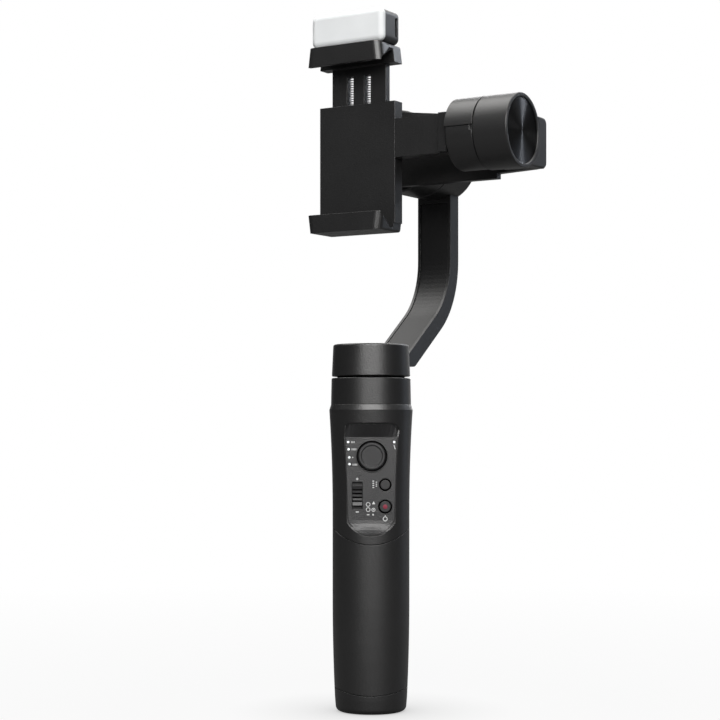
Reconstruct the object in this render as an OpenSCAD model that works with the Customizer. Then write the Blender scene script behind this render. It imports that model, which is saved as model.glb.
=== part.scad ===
/* [Handle] */
// Radius of the handle at its foot
foot_r = 15.9; // [15.4:0.1:16.8]
// Radius of the slim middle of the grip
waist_r = 17.27; // [17:0.05:17.6]
// Widest radius, just under the pan motor
shoulder_r = 18.75; // [18.4:0.05:19.5]
// Radius of the rounded edge round the foot
foot_edge = 2.5; // [1:0.1:3]
// Height at which the foot has grown to the waist
waist_low = 50; // [40:1:60]
// Height at which the handle starts to widen again
waist_high = 90; // [86:1:95]
// Height of the widest place
shoulder_z = 135; // [134:0.5:138]
// Height of the bevel from the shoulder to the motor
shoulder_rise = 2.4; // [2:0.1:3]
// Width of the seams between the outer pieces
seam = 0.25; // [0.15:0.05:0.35]

/* [Grip] */
// Thickness of the grip's sleeve at the waist
sleeve_t = 3.07; // [2.97:0.05:3.27]
// Wall of that tube
tube_wall = 2; // [1.6:0.1:2.2]
// Height of the top of the tube
tube_top = 77; // [76.8:0.1:78]
// Thickness of the floor of the base cap
cap_floor = 3; // [2:0.1:4]
// Height of the base cap's seam at the front and the back
cap_seam_z = 8.4; // [7:0.1:10]
// Radius of the curve of the base cap's seam, seen from the front
cap_seam_r = 54; // [45:1:70]
// Height of the grip's upper seam at the front and the back
grip_seam_z = 75.2; // [74.5:0.1:76]
// Radius of the curve of the grip's upper seam, seen from the front
grip_seam_r = 24.5; // [24:0.1:26]
// Diameter of the battery cell
cell_d = 18.4; // [17.5:0.1:18.8]
// Length of the battery cell
cell_l = 65.2; // [64:0.1:66]
// Play round the battery cell
cell_play = 0.15; // [0.1:0.05:0.3]
// Thickness of the end contacts
contact_t = 0.4; // [0.3:0.05:0.6]

/* [Tripod thread] */
// Radius of the threaded hole, for the common quarter inch tripod screw
thread_r = 3.175; // [3.1:0.005:3.3]
// Depth of the threaded hole
thread_depth = 8.5; // [7:0.1:8.8]
// Outer radius of the brass insert
insert_r = 5.2; // [4.6:0.1:5.8]
// Length of the brass insert
insert_l = 9.8; // [9.4:0.1:10]
// Wall of the boss round the insert
insert_wall = 2; // [1.5:0.1:3]

/* [Upper housing] */
// Wall of the upper housing
housing_wall = 2.6; // [2.4:0.1:2.8]
// Thickness of the housing's top under the pan motor
housing_top_t = 4; // [3:0.1:4.5]
// Radius of the hole for the motor's wires
wire_r = 3.6; // [3:0.1:4]

/* [Control panel] */
// Depth of the flat panel, from the waist's radius inwards
panel_inset = 3.77; // [3.4:0.01:4]
// Thickness of the panel
panel_t = 2; // [1.6:0.1:2.2]
// Lowest point of the scoop
panel_low = 79; // [78.8:0.1:80]
// Height at which the flat starts
panel_flat_low = 86; // [85.5:0.1:87]
// Height at which the flat ends
panel_flat_high = 122.9; // [122:0.1:123.5]
// Height of the top edge of the scoop
panel_high = 129.2; // [128.5:0.1:130]
// Half width of the scoop at its top
panel_half_high = 12.05; // [11.9:0.05:12.2]
// Half width of the scoop at its bottom
panel_half_low = 10.75; // [10.6:0.05:10.85]
// How far the scoop's walls stand outside the flat's edges
panel_spread = 0.5; // [0.4:0.05:0.7]
// Height of the step at the scoop's two ends
panel_step = 0.3; // [0.2:0.05:0.5]
// Radius of the two upper corners
panel_corner = 4; // [3:0.1:5]
// Width of the housing's narrow rim round the panel
panel_rim = 0.45; // [0.3:0.05:0.6]
// Width of the ledge that carries the panel
panel_ledge = 0.6; // [0.4:0.05:0.7]

/* [Joystick] */
// Sideways place of the joystick
stick_x = 0.3; // [-0.5:0.1:0.8]
// Height of the joystick
stick_z = 114.5; // [113.5:0.1:115]
// Radius of the joystick's cap
stick_r = 5.7; // [5.2:0.05:6]
// Outer radius of the ring round it
stick_ring_r = 7.15; // [7.1:0.05:7.4]
// How far the ring stands out of the panel
stick_ring_h = 0.5; // [0.3:0.05:0.6]
// Depth of the joystick's pivot behind the top of its cap
stick_pivot = 7; // [6.8:0.05:7.2]
// Gap between cap and ring
stick_gap = 0.3; // [0.3:0.01:0.36]
// Width of the joystick's body on the board
stick_body = 13; // [12.6:0.1:13.4]
// Radius of the joystick's stem
stem_r = 1.2; // [1:0.05:1.4]
// Radius of the yoke's pins
yoke_pin_r = 0.7; // [0.6:0.05:0.8]
// Radius of the stem's cross pin
cross_pin_r = 0.55; // [0.5:0.05:0.6]

/* [Buttons] */
// Sideways place of the two buttons
button_x = 6.2; // [6:0.1:6.4]
// Height of the mode button
mode_z = 101.8; // [101:0.1:102.5]
// Height of the record button
record_z = 92.1; // [91.5:0.1:92.5]
// Radius of the mode button's cap
mode_r = 2.1; // [1.8:0.05:2.3]
// Radius of the record button's cap
record_r = 2.4; // [2.1:0.05:2.6]
// Width of the low ring round each cap
button_ring = 0.65; // [0.5:0.05:0.75]
// Travel of a button
button_travel = 0.6; // [0.4:0.05:0.7]
// Gap round a button
button_gap = 0.1; // [0.08:0.01:0.15]
// Sideways place of the zoom slot
zoom_x = -6.15; // [-6.3:0.05:-6]
// Height of the middle of the zoom slot
zoom_z = 97; // [96.5:0.1:97.5]
// Width of the zoom slot
zoom_w = 4.7; // [4.4:0.05:4.9]
// Length of the zoom slot
zoom_l = 12.2; // [11.8:0.1:12.4]
// Travel of the slider to each side
zoom_travel = 1.5; // [1:0.05:1.6]
// Distance between the slider's ridges
zoom_pitch = 1.65; // [1.5:0.05:1.75]

/* [Board] */
// Distance of the board's front face behind the handle's axis, to the front
board_y = 4.2; // [4:0.05:4.4]
// Thickness of the boards
board_t = 1.2; // [1:0.1:1.4]
// Half width of the main board
board_half = 11; // [10.8:0.1:11.4]
// Height of the lower edge of the main board
board_low = 83.5; // [83:0.1:84]
// Height of the upper edge of the main board
board_high = 130; // [128:0.5:131]
// Height of the charging port
port_z = 92; // [90:0.1:96]
// Width of the charging port
port_w = 8.9; // [8.7:0.05:9]
// Height of the charging port's mouth
port_h = 3.2; // [3.1:0.05:3.4]
// Radius of a light pipe
light_r = 0.5; // [0.4:0.05:0.6]

/* [Motors] */
// Wall of the motor housings
motor_wall = 1.7; // [1.5:0.05:1.9]
// Floor of a motor base and of a rotor
motor_floor = 2.2; // [1.8:0.1:2.4]
// Gap between a motor base and its rotor
motor_gap = 0.4; // [0.3:0.05:0.6]
// Chamfer of the rims on both sides of that gap
motor_edge = 0.3; // [0.2:0.05:0.4]
// Radius of the hub that carries the stator
hub_r = 7; // [6.8:0.05:7.2]
// Outer radius of the bearings
bearing_r = 5.5; // [5.2:0.1:5.8]
// Width of a bearing
bearing_w = 3; // [2.4:0.1:3.4]
// Radius of the hollow shaft
shaft_r = 3; // [2.8:0.05:3.2]
// Bore of the hollow shaft
shaft_bore = 1.8; // [1.5:0.05:2]
// Clearance of a shaft in its bearings
shaft_fit = 0.05; // [0.03:0.01:0.08]
// Thickness of the magnets
magnet_t = 1.4; // [1.2:0.05:1.6]
// Gap between the stator and the magnets
air_gap = 0.4; // [0.35:0.05:0.5]
// Width of a stator tooth
tooth_w = 1.8; // [1.6:0.05:2]
// Thickness of the wire on each side of a tooth
coil_t = 1.1; // [0.9:0.05:1.15]
// Depth of the recess that holds an end cap
cap_recess = 1.2; // [1:0.1:1.4]
// How far an end cap lies below its rim
cap_step = 0.5; // [0.3:0.05:0.7]

/* [Pan motor] */
// Radius of the pan motor at its foot
pan_r = 18; // [17.8:0.05:18.2]
// Radius of the pan motor's base at its upper rim
pan_rim_r = 17.75; // [17.7:0.05:17.9]
// Height of the pan motor's base
pan_base_h = 11.9; // [11:0.1:13]
// Gap between the pan motor's base and its rotor
pan_gap = 0.8; // [0.5:0.05:1]
// Radius of the rotor at its lower rim
pan_rotor_r = 17.6; // [17.4:0.05:17.7]
// Radius of the rotor at its top
pan_top_r = 17; // [16.8:0.05:17.1]
// Height of the rotor
pan_rotor_h = 14.3; // [14:0.1:15]

/* [Pan arm] */
// How far the head is turned from the handle
head_yaw = 32; // [0:1:90]
// Height of the middle of the head, where the three axes meet
head_z = 254.3; // [250:0.1:258]
// Width of the arm
arm_w = 17.7; // [16:0.1:19]
// Thickness of the arm
arm_t = 7.8; // [7:0.1:8.4]
// Distance from the pan axis to the arm's upright inner face
arm_reach = 57.2; // [57:0.1:58]
// Radius of the bend on the inner face
bend_r = 34; // [30:0.5:38]
// Slope of the lower part
arm_slope = 36.9; // [35:0.1:38]
// How far under the pan rotor's rim the sloping inner face would meet the pan axis
arm_root = 3.3; // [3:0.1:3.6]
// Height of the arm's lowest edge above that rim
arm_foot = 4.9; // [4.4:0.1:5.4]
// Rounding of the arm's lower corner
arm_corner = 4; // [3:0.1:5]
// Depth of the recess in the inner face
arm_inset = 1.5; // [1:0.1:2]
// Border beside that recess
arm_border = 1.4; // [1:0.1:2]
// How far the cover strip lies below the border
strip_step = 0.3; // [0.1:0.05:0.5]

/* [Roll motor] */
// Radius of the roll motor
roll_r = 19; // [18.6:0.1:19.4]
// Share of the roll motor's length that its base takes
roll_base_share = 0.403; // [0.38:0.001:0.42]
// Distance from the tilt axis to the front of the rotor
roll_front = 22.8; // [22.6:0.05:23]

/* [Roll arm] */
// Distance from the tilt axis to the arm's front face
slab_front = 16.5; // [16.4:0.05:16.8]
// Radius of the arm's round end on the roll axis
slab_r = 17.2; // [16.8:0.1:17.6]
// Height of the arm's right end above the axis
slab_up = 8.2; // [8:0.1:9]
// Depth of the arm's right end below the axis
slab_down = 14.2; // [14:0.1:15]
// Width of the bevel along the arm's rear edges
slab_bevel = 3.9; // [3:0.1:4.2]
// Depth of that bevel
slab_bevel_t = 2.3; // [2:0.1:2.8]
// How far the tilt motor's saddle reaches before the arm
saddle_t = 8.1; // [7.8:0.1:8.6]
// Rounding of the arm's right corners
slab_corner = 3; // [2.6:0.1:3.4]
// Bevel round the saddle's outer end
saddle_edge = 0.6; // [0.4:0.1:1]
// How far the lower rib reaches along the arm
rib_end = 55; // [50:0.5:57]
// Height of the lower rib
rib_h = 5.2; // [4:0.1:6]

/* [Tilt motor] */
// Radius of the tilt motor
tilt_r = 16; // [15.8:0.05:16.1]
// Distance from the roll axis to the outer rim
tilt_end = 76.5; // [76:0.1:77.5]
// Length of the tilt motor's base
tilt_base_h = 16.2; // [15.5:0.1:16.8]
// Length of the rotor
tilt_rotor_h = 13.6; // [13.4:0.1:14]
// Thickness of the shell over the rotor's upper half
shell_t = 0.5; // [0.4:0.05:0.7]
// Height of the shell's lower edge above the axis
shell_z = 1.8; // [1:0.1:3]

/* [Clamp] */
// Width of the jaws
jaw_w = 39.2; // [36:0.1:41]
// Sideways place of the middle of the jaws
jaw_x = -0.7; // [-1:0.1:0]
// How far the jaws narrow towards their outer faces, on each side
jaw_taper = 1.1; // [0.5:0.1:1.2]
// Rounding of the jaws' front corners
jaw_corner = 3.3; // [2:0.1:4]
// Rounding of the outer faces' two ends
jaw_edge = 1.1; // [0.6:0.1:1.5]
// Distance of the jaws' front face before the axis
jaw_front = 22.6; // [22.2:0.1:23.5]
// Thickness of the lip at its edge
lip_t = 2.5; // [2:0.1:3]
// Distance of the clamp's face before the axis
clamp_face = 10.75; // [10.5:0.05:11]
// Distance of the clamp's back before the axis
clamp_back = 4.4; // [4.3:0.05:4.6]
// Half of the phone's width between the pads
grip_half = 35.3; // [34:0.1:36]
// How far a lip reaches over the phone
lip_over = 2.4; // [2:0.1:3.4]
// Depth of the groove beyond the phone's edge
groove_depth = 3.1; // [2.8:0.1:3.4]
// Material of the upper jaw above the groove
upper_jaw_t = 2.9; // [2.7:0.1:3.6]
// Material of the lower jaw below the groove
lower_jaw_t = 2.5; // [2.2:0.1:2.8]
// Thickness of the rubber pads in the grooves
pad_t = 1; // [0.8:0.1:1.2]
// Height of the top of the clamp's body above the axis
clamp_top = 16.5; // [14:0.1:16.8]
// Travel of the upper jaw outwards
jaw_out = 18; // [16:0.5:18]
// Travel of the upper jaw inwards
jaw_in = 16; // [14:0.5:16]
// Front wall of the clamp's body
clamp_wall = 1.4; // [1.2:0.05:1.5]
// Thickness of the clamp's rear cover
cover_t = 1.2; // [1.1:0.05:1.3]
// Clearance of the sliding tongue
slide_gap = 0.2; // [0.15:0.01:0.22]
// Width of the tongue
tongue_w = 28; // [26:0.5:29]
// Length of the tongue below the axis
tongue_low = 12; // [11.5:0.1:12.5]
// Radius of the guide rods
rod_r = 1; // [0.9:0.05:1]
// Distance of the guide rods from the middle
rod_x = 10; // [9.5:0.1:10.5]
// Radius of the tension springs
spring_r = 1.5; // [1.3:0.05:1.55]
// Distance of the springs from the middle
spring_x = 4.5; // [4.2:0.1:4.8]
// Height of the bracket and of the stop pad
bracket_h = 17; // [15:0.5:17]
// Radius of the bracket's flange
flange_r = 12; // [11:0.1:13]
// Thickness of the bracket's flange
flange_t = 2; // [1.6:0.1:2.4]
// Length of the stop pad
stop_l = 3.8; // [3:0.1:4.2]
// How far the stop pad stands before the bracket
stop_out = 3.25; // [3:0.05:3.6]

/* [Fill light] */
// Width of the light
light_w = 37.2; // [34:0.1:38]
// Height of the light
light_h = 14.4; // [13.4:0.1:15]
// Distance of the light's front before the axis
light_front = 21.4; // [21:0.1:22]
// Depth of the light's housing
light_depth = 11; // [10:0.1:11.4]
// Depth of the diffuser
diffuser_t = 2.6; // [2.2:0.1:2.8]
// Rounding of the light's corners
light_corner = 2.6; // [2:0.1:3]
// Wall of the light's housing
light_wall = 1.2; // [1:0.05:1.4]
// Sideways place of the light
light_x = 0.4; // [0:0.1:0.6]
// Width of the light's charging slot
light_port_w = 1.6; // [1.4:0.1:2.2]
// Length of the light's charging slot
light_port_l = 8.4; // [7.6:0.1:9]

/* [Hidden] */

$fn = 64;
body_color = [0.13, 0.13, 0.14];
soft_color = [0.1, 0.1, 0.1];
panel_color = [0.24, 0.24, 0.25];
steel_color = [0.7, 0.7, 0.72];
copper_color = [0.72, 0.42, 0.2];
board_color = [0.1, 0.35, 0.2];
white_color = [0.93, 0.94, 0.94];
control_color = [0.2, 0.2, 0.21];

// One overrun serves every cut
over = 5 * seam;

// Levels up the handle
seat_z = shoulder_z + shoulder_rise;
rotor_z = seat_z + pan_base_h + pan_gap;
drum_top = rotor_z + pan_rotor_h;
cavity_top = seat_z - housing_top_t;
floor_y = waist_r - panel_inset;
panel_back = floor_y - panel_t;
holder_z = insert_l;
holder_wall = (tube_top - insert_l - cell_l - 2 * contact_t) / 2;
cell_z = holder_z + holder_wall + contact_t;
tube_r = waist_r - sleeve_t;
tube_bore = tube_r - tube_wall;

// Outer radius of the handle at height z
function handle_r(z) =
    z < waist_low ? foot_r + (waist_r - foot_r) * (1 - pow(1 - z / waist_low, 2))
    : z < waist_high ? waist_r
    : waist_r + (shoulder_r - waist_r) * pow((z - waist_high) / (shoulder_z - waist_high), 2);

// Points on an arc about c, from angle a0 to a1, in n steps
function arc(c, r, a0, a1, n) = [for (i = [0:n]) let (a = a0 + (a1 - a0) * i / n) c + r * [cos(a), sin(a)]];

// Points of a rectangle with rounded corners about the origin
function round_rect(w, h, r) = concat(
    arc([w / 2 - r, h / 2 - r], r, 0, 90, 8), arc([r - w / 2, h / 2 - r], r, 90, 180, 8),
    arc([r - w / 2, r - h / 2], r, 180, 270, 8), arc([w / 2 - r, r - h / 2], r, 270, 360, 8));

// Solid of the handle's outer form between two heights
module handle_solid(z0, z1) {
    steps = 12;
    side = [for (i = [0:steps]) let (z = z0 + (z1 - z0) * i / steps) [handle_r(z), z]];
    rotate_extrude() polygon(concat([[0, z0]], side, [[0, z1]]));
}

// Bar of round section along Y that cuts a smile-shaped seam; its lowest line is at height z
module seam_bar(z, r) {
    translate([0, 0, z + r]) rotate([90, 0, 0]) cylinder(r = r, h = 3 * shoulder_r, center = true);
}

// Everything above a smile-shaped seam
module above_seam(z, r) {
    seam_bar(z, r);
    translate([-2 * r, -2 * r, z + r]) cube([4 * r, 4 * r, 2 * shoulder_z]);
}

// Places what follows in the head: X along the phone, Y to the back, Z up, origin on the axes
module in_head() {
    translate([0, 0, head_z]) rotate([0, 0, -head_yaw]) children();
}

// Turns Z outwards from the panel, at a place on the panel given by x and z
module from_panel(x, z, depth) {
    translate([x, -depth, z]) rotate([90, 0, 0]) children();
}

// Handle

module base_cap() {
    rim_z = cap_seam_z + cap_seam_r;
    color(body_color) difference() {
        intersection() {
            rotate_extrude() polygon(concat(
                [[0, 0]], arc([foot_r - foot_edge, foot_edge], foot_edge, -90, 0, 6),
                [for (i = [1:6]) let (z = foot_edge + (waist_low / 2 - foot_edge) * i / 6) [handle_r(z), z]],
                [[0, waist_low / 2]]));
            difference() {
                translate([-2 * foot_r, -2 * foot_r, 0]) cube([4 * foot_r, 4 * foot_r, rim_z]);
                seam_bar(cap_seam_z, cap_seam_r);
            }
        }
        difference() {
            translate([0, 0, cap_floor]) cylinder(r = tube_r, h = waist_low);
            cylinder(r = insert_r + insert_wall, h = insert_l);
        }
        translate([0, 0, -over]) cylinder(r = insert_r, h = insert_l + 2 * over);
    }
}

module tripod_insert() {
    color("goldenrod") difference() {
        cylinder(r = insert_r, h = insert_l);
        translate([0, 0, -over]) cylinder(r = thread_r, h = thread_depth + over);
    }
}

module handle_tube() {
    color(body_color) translate([0, 0, cap_floor]) difference() {
        cylinder(r = tube_r, h = tube_top - cap_floor);
        translate([0, 0, -over]) cylinder(r = tube_bore, h = tube_top + 2 * over);
    }
}

module grip_sleeve() {
    sleeve_top = grip_seam_z + grip_seam_r;
    color(soft_color) difference() {
        handle_solid(cap_seam_z, sleeve_top);
        seam_bar(grip_seam_z, grip_seam_r);
        cylinder(r = tube_r, h = sleeve_top + over);
        difference() {
            translate([-foot_r - waist_r, -foot_r - waist_r, 0])
                cube([2 * (foot_r + waist_r), 2 * (foot_r + waist_r), cap_seam_z + cap_seam_r]);
            seam_bar(cap_seam_z + seam, cap_seam_r);
        }
    }
}

module battery_holder() {
    bore = cell_d / 2 + cell_play;
    color("dimgray") difference() {
        translate([0, 0, holder_z]) cylinder(r = tube_bore, h = tube_top - holder_z);
        translate([0, 0, holder_z + holder_wall]) cylinder(r = bore, h = cell_l + 2 * contact_t);
        translate([-tube_r, -tube_r, holder_z + 2 * holder_wall])
            cube([2 * tube_r, tube_r - bore / 2, tube_top - holder_z - 4 * holder_wall]);
    }
    color(steel_color) for (z = [holder_z + holder_wall, cell_z + cell_l])
        translate([0, 0, z]) cylinder(r = bore, h = contact_t);
}

module battery_cell() {
    color("steelblue") translate([0, 0, cell_z]) cylinder(r = cell_d / 2, h = cell_l);
}

// Outline of the scoop, seen from the front, drawn in by d and spread sideways by w
module scoop_outline(d, w) {
    corner = panel_corner - d;
    half_low = panel_half_low - d + w;
    half_high = panel_half_high - d + w;
    sag = panel_flat_low - panel_low - d;
    low_r = (pow(half_low, 2) + pow(sag, 2)) / (2 * sag);
    turn = asin(half_low / low_r);
    top = panel_high - d;
    polygon(concat(
        arc([0, panel_low + d + low_r], low_r, -90 - turn, turn - 90, 16),
        arc([half_high - corner, top - corner], corner, 0, 90, 6),
        arc([corner - half_high, top - corner], corner, 90, 180, 6)));
}

module scoop_prism(d, depth, w) {
    rotate([90, 0, 0]) translate([0, 0, depth]) linear_extrude(2 * shoulder_r) scoop_outline(d, w);
}

// Place of the ramp at x, a share of the way from the flat to the step under a skin of radius r
function ramp_y(x, r, share) = -floor_y - (sqrt(pow(r, 2) - pow(x, 2)) - panel_step - floor_y) * share;

// A ramp that rises from the flat at z0 nearly to the handle's skin at z1, over the full width
module scoop_ramp(z0, z1, rows, power) {
    cols = 14;
    half = panel_half_high + 2 * panel_spread;
    skin_r = handle_r(z1);
    wide = cols + 1;
    shares = [for (j = [0:rows]) j / rows];
    face = [for (s = shares) for (i = [0:cols])
        let (x = half * (2 * i / cols - 1)) [x, ramp_y(x, skin_r, pow(s, power)), z0 + (z1 - z0) * s]];
    front = [for (s = [0, 1]) for (e = [-1, 1]) [e * half, -2 * shoulder_r, z0 + (z1 - z0) * s]];
    n = len(face);
    quads = [for (j = [0:rows - 1]) for (i = [0:cols - 1]) let (a = j * wide + i)
        each [[a, a + 1, a + wide + 1], [a, a + wide + 1, a + wide]]];
    low_cap = concat([n], [for (i = [0:cols]) i], [n + 1]);
    high_cap = concat([n + 3], [for (i = [cols:-1:0]) rows * wide + i], [n + 2]);
    left = concat([n + 2], [for (j = [rows:-1:0]) j * wide], [n]);
    right = concat([n + 1], [for (j = [0:rows]) j * wide + cols], [n + 3]);
    sides = [for (f = concat(quads, [low_cap, high_cap, left, right, [n, n + 1, n + 3, n + 2]]))
        z1 > z0 ? f : [for (i = [len(f) - 1:-1:0]) f[i]]];
    polyhedron(points = concat(face, front), faces = [for (f = sides) [for (i = [len(f) - 1:-1:0]) f[i]]]);
}

// What the scoop takes out of the handle
module scoop() {
    intersection() {
        scoop_prism(0, 0, panel_spread);
        union() {
            translate([-2 * shoulder_r, -3 * shoulder_r, panel_flat_low])
                cube([4 * shoulder_r, 3 * shoulder_r - floor_y, panel_flat_high - panel_flat_low]);
            scoop_ramp(panel_flat_high, panel_high, 1, 1);
            scoop_ramp(panel_flat_low, panel_low, 5, 2);
        }
    }
}

// Height of the collar in the grip's seam, as a share of the seam's radius
spigot_share = 0.3;

module upper_housing() {
    steps = 12;
    hollow = [for (i = [0:steps]) let (z = tube_top + (cavity_top - tube_top) * i / steps)
        [min(handle_r(z) - housing_wall, shoulder_r - 3 * housing_wall / 2), z]];
    spigot_h = grip_seam_r * spigot_share;
    color(body_color) difference() {
        union() {
            intersection() {
                union() {
                    handle_solid(grip_seam_z, shoulder_z);
                    translate([0, 0, shoulder_z]) cylinder(r1 = shoulder_r, r2 = pan_r, h = shoulder_rise);
                }
                above_seam(grip_seam_z + seam, grip_seam_r);
            }
            translate([0, 0, tube_top]) cylinder(r = tube_r, h = spigot_h);
        }
        cylinder(r = tube_r, h = tube_top);
        intersection() {
            rotate_extrude() polygon(concat([[0, tube_top]], hollow, [[0, cavity_top]]));
            union() {
                cylinder(r = tube_bore, h = seat_z);
                translate([0, 0, tube_top + spigot_h]) cylinder(r = shoulder_r, h = seat_z);
            }
        }
        scoop();
        scoop_prism(panel_rim, panel_back, 0);
        scoop_prism(panel_rim + panel_ledge, waist_r / 2, 0);
        cylinder(r = wire_r, h = seat_z + over);
        translate([0, 0, port_z]) rotate([-90, 0, 0]) linear_extrude(2 * waist_r)
            polygon(round_rect(port_w + 2 * seam, port_h + 2 * seam, port_h / 2));
    }
}

// Holes for the two buttons and the slider
module button_holes() {
    from_panel(button_x, mode_z, 0) cylinder(r = mode_r + button_ring + button_gap, h = 2 * waist_r);
    from_panel(button_x, record_z, 0) cylinder(r = record_r + button_ring + button_gap, h = 2 * waist_r);
    translate([zoom_x - zoom_w / 2, -2 * waist_r, zoom_z - zoom_l / 2]) cube([zoom_w, 2 * waist_r, zoom_l]);
}

// Heights of the indicator lights, as shares of the flat's height, with their sideways places
lamp_shares = [[-0.755, 0.94], [-0.74, 0.853], [-0.72, 0.756], [-0.71, 0.675], [0.755, 0.94]];
module at_lamps() {
    for (s = lamp_shares)
        from_panel(s[0] * floor_y, panel_flat_low + s[1] * (panel_flat_high - panel_flat_low), 0) children();
}

module stick_ball(r) {
    translate([stick_x, stick_pivot - floor_y - stick_ring_h, stick_z]) sphere(r = r);
}

ball_r = sqrt(pow(stick_r, 2) + pow(stick_pivot, 2));
post_r = 1.3;
post_z = [panel_flat_low + seam, board_high - 3 * post_r];
post_share = 0.72;

module control_panel() {
    color(panel_color) difference() {
        union() {
            difference() {
                intersection() {
                    scoop_prism(panel_rim + seam / 2, panel_back, 0);
                    handle_solid(panel_low - over, panel_high + over);
                }
                scoop();
            }
            from_panel(stick_x, stick_z, panel_back) cylinder(r = stick_ring_r, h = panel_t + stick_ring_h);
            for (x = [-1, 1]) for (z = post_z) from_panel(x * board_half * post_share, z, board_y)
                cylinder(r = post_r, h = panel_back - board_y + seam);
        }
        button_holes();
        at_lamps() cylinder(r = light_r + shaft_fit, h = 2 * waist_r);
        stick_ball(ball_r + stick_gap);
    }
}

module main_board() {
    color(board_color) translate([-board_half, -board_y, board_low])
        cube([2 * board_half, board_t, board_high - board_low]);
}

charge_half = 6;
module charge_board() {
    color(board_color) translate([-charge_half, board_t - board_y, port_z - port_h / 2 - board_t])
        cube([2 * charge_half, waist_r - housing_wall - board_t, board_t]);
}

module usb_port() {
    reach = waist_r - seam;
    inner = waist_r / 2;
    wall = port_h / 10;
    color(steel_color) translate([0, inner, port_z]) rotate([-90, 0, 0]) difference() {
        linear_extrude(reach - inner) polygon(round_rect(port_w, port_h, port_h / 2 - shaft_fit));
        translate([0, 0, wall]) linear_extrude(reach)
            polygon(round_rect(port_w - 2 * wall, port_h - 2 * wall, port_h / 2 - wall - shaft_fit));
    }
    color("black") translate([-port_w / 3, inner, port_z - wall])
        cube([2 * port_w / 3, reach - inner - 2 * wall, 2 * wall]);
}

switch_h = 2;
switch_w = 4;
module button_switches() {
    color("dimgray") {
        for (z = [mode_z, record_z])
            translate([button_x - switch_w / 2, -board_y - switch_h, z - switch_w / 2])
                cube([switch_w, switch_h, switch_w]);
        translate([zoom_x - switch_w / 2, -board_y - switch_h, zoom_z - switch_w])
            cube([switch_w, switch_h, 2 * switch_w]);
    }
}

module indicator_lights() {
    color(white_color) at_lamps() translate([0, 0, board_y]) cylinder(r = light_r, h = floor_y - board_y);
}

// Joystick, drawn with Z outwards from the pivot

yoke_r = 4;
yoke_h = 1.8;
yoke_bore = 2.6;
stick_room = yoke_r + 2 * stick_gap;
pivot_y = floor_y + stick_ring_h - stick_pivot;
module at_stick() {
    from_panel(stick_x, stick_z, pivot_y) children();
}

module joystick_base() {
    depth = pivot_y - board_y;
    color("dimgray") at_stick() difference() {
        translate([-stick_body / 2, -stick_body / 2, -depth])
            cube([stick_body, stick_body, depth + yoke_bore]);
        translate([-stick_room, -stick_room, -depth + board_t / 2])
            cube([2 * stick_room, 2 * stick_room, 2 * stick_body]);
        rotate([0, 90, 0]) cylinder(r = yoke_pin_r + shaft_fit, h = 2 * stick_body, center = true);
    }
}

module joystick_yoke() {
    color(steel_color) at_stick() difference() {
        union() {
            cylinder(r = yoke_r, h = yoke_h, center = true);
            rotate([0, 90, 0]) cylinder(r = yoke_pin_r, h = stick_body - yoke_h / 2, center = true);
        }
        cylinder(r = yoke_bore, h = stick_body, center = true);
        rotate([90, 0, 0]) cylinder(r = cross_pin_r + shaft_fit, h = stick_body, center = true);
    }
}

module joystick_cap() {
    skin = 1.2;
    rim = asin(stick_r / ball_r);
    skirt = 5 * rim / 4;
    dish = 0.4;
    color(control_color) at_stick() {
        rotate_extrude() polygon(concat(
            [[0, stick_pivot - dish], [stick_r - 3 * dish, stick_pivot - dish],
             [stick_r - 2 * dish, stick_pivot]],
            arc([0, 0], ball_r, 90 - rim, 90 - skirt, 5),
            [[(ball_r - skin) * sin(skirt), (ball_r - skin) * cos(skirt)],
             [stem_r, stick_pivot - dish - skin], [stem_r, -yoke_h / 3], [0, -yoke_h / 3]]));
        rotate([90, 0, 0]) cylinder(r = cross_pin_r, h = 2 * (yoke_r - 2 * dish), center = true);
    }
}

// A button: cap, low ring and stop flange, drawn with Z outwards from the panel's back
module push_button(r) {
    rim_r = r + 5 * button_ring / 3;
    proud = 0.35;
    reach = panel_back - board_y - switch_h - button_travel - seam / 4;
    rotate_extrude() polygon([
        [0, panel_t + proud], [r - button_gap, panel_t + proud], [r, panel_t + proud - button_gap],
        [r, panel_t - button_ring], [r + button_ring, panel_t - button_ring], [r + button_ring, 0],
        [rim_r, 0], [rim_r, -button_ring], [stem_r, -button_ring], [stem_r, -reach], [0, -reach]]);
}

module mode_button() {
    color(control_color) from_panel(button_x, mode_z, panel_back) push_button(mode_r);
}

module record_button() {
    color(control_color) from_panel(button_x, record_z, panel_back) push_button(record_r);
}

module zoom_slider() {
    plate_t = 0.6;
    knob_w = zoom_w - 4 * button_gap;
    knob_l = zoom_l - 2 * zoom_travel - 4 * button_gap;
    knob_h = panel_t + plate_t;
    dip = 0.6;
    dip_r = (pow(knob_l / 2, 2) + pow(dip, 2)) / (2 * dip);
    ridges = floor(knob_l / zoom_pitch);
    stem = panel_back - plate_t - board_y - switch_h - seam / 4;
    color(control_color) from_panel(zoom_x, zoom_z, panel_back) {
        translate([-zoom_w / 2 - plate_t, -zoom_l / 2 - zoom_travel - plate_t / 3, -plate_t])
            cube([zoom_w + 2 * plate_t, zoom_l + 2 * zoom_travel + 2 * plate_t / 3, plate_t]);
        difference() {
            translate([-knob_w / 2, -knob_l / 2, -plate_t]) cube([knob_w, knob_l, knob_h + 2 * dip]);
            translate([0, 0, panel_t + dip / 2 + dip_r]) rotate([0, 90, 0])
                cylinder(r = dip_r, h = 2 * knob_w, center = true);
            for (i = [1:ridges - 1])
                translate([-knob_w, (i - ridges / 2) * zoom_pitch - zoom_pitch / 5, panel_t - dip])
                    cube([2 * knob_w, 2 * zoom_pitch / 5, 3 * dip]);
        }
        translate([-stem_r, -stem_r, -plate_t - stem]) cube([2 * stem_r, 2 * stem_r, stem]);
    }
}

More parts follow.
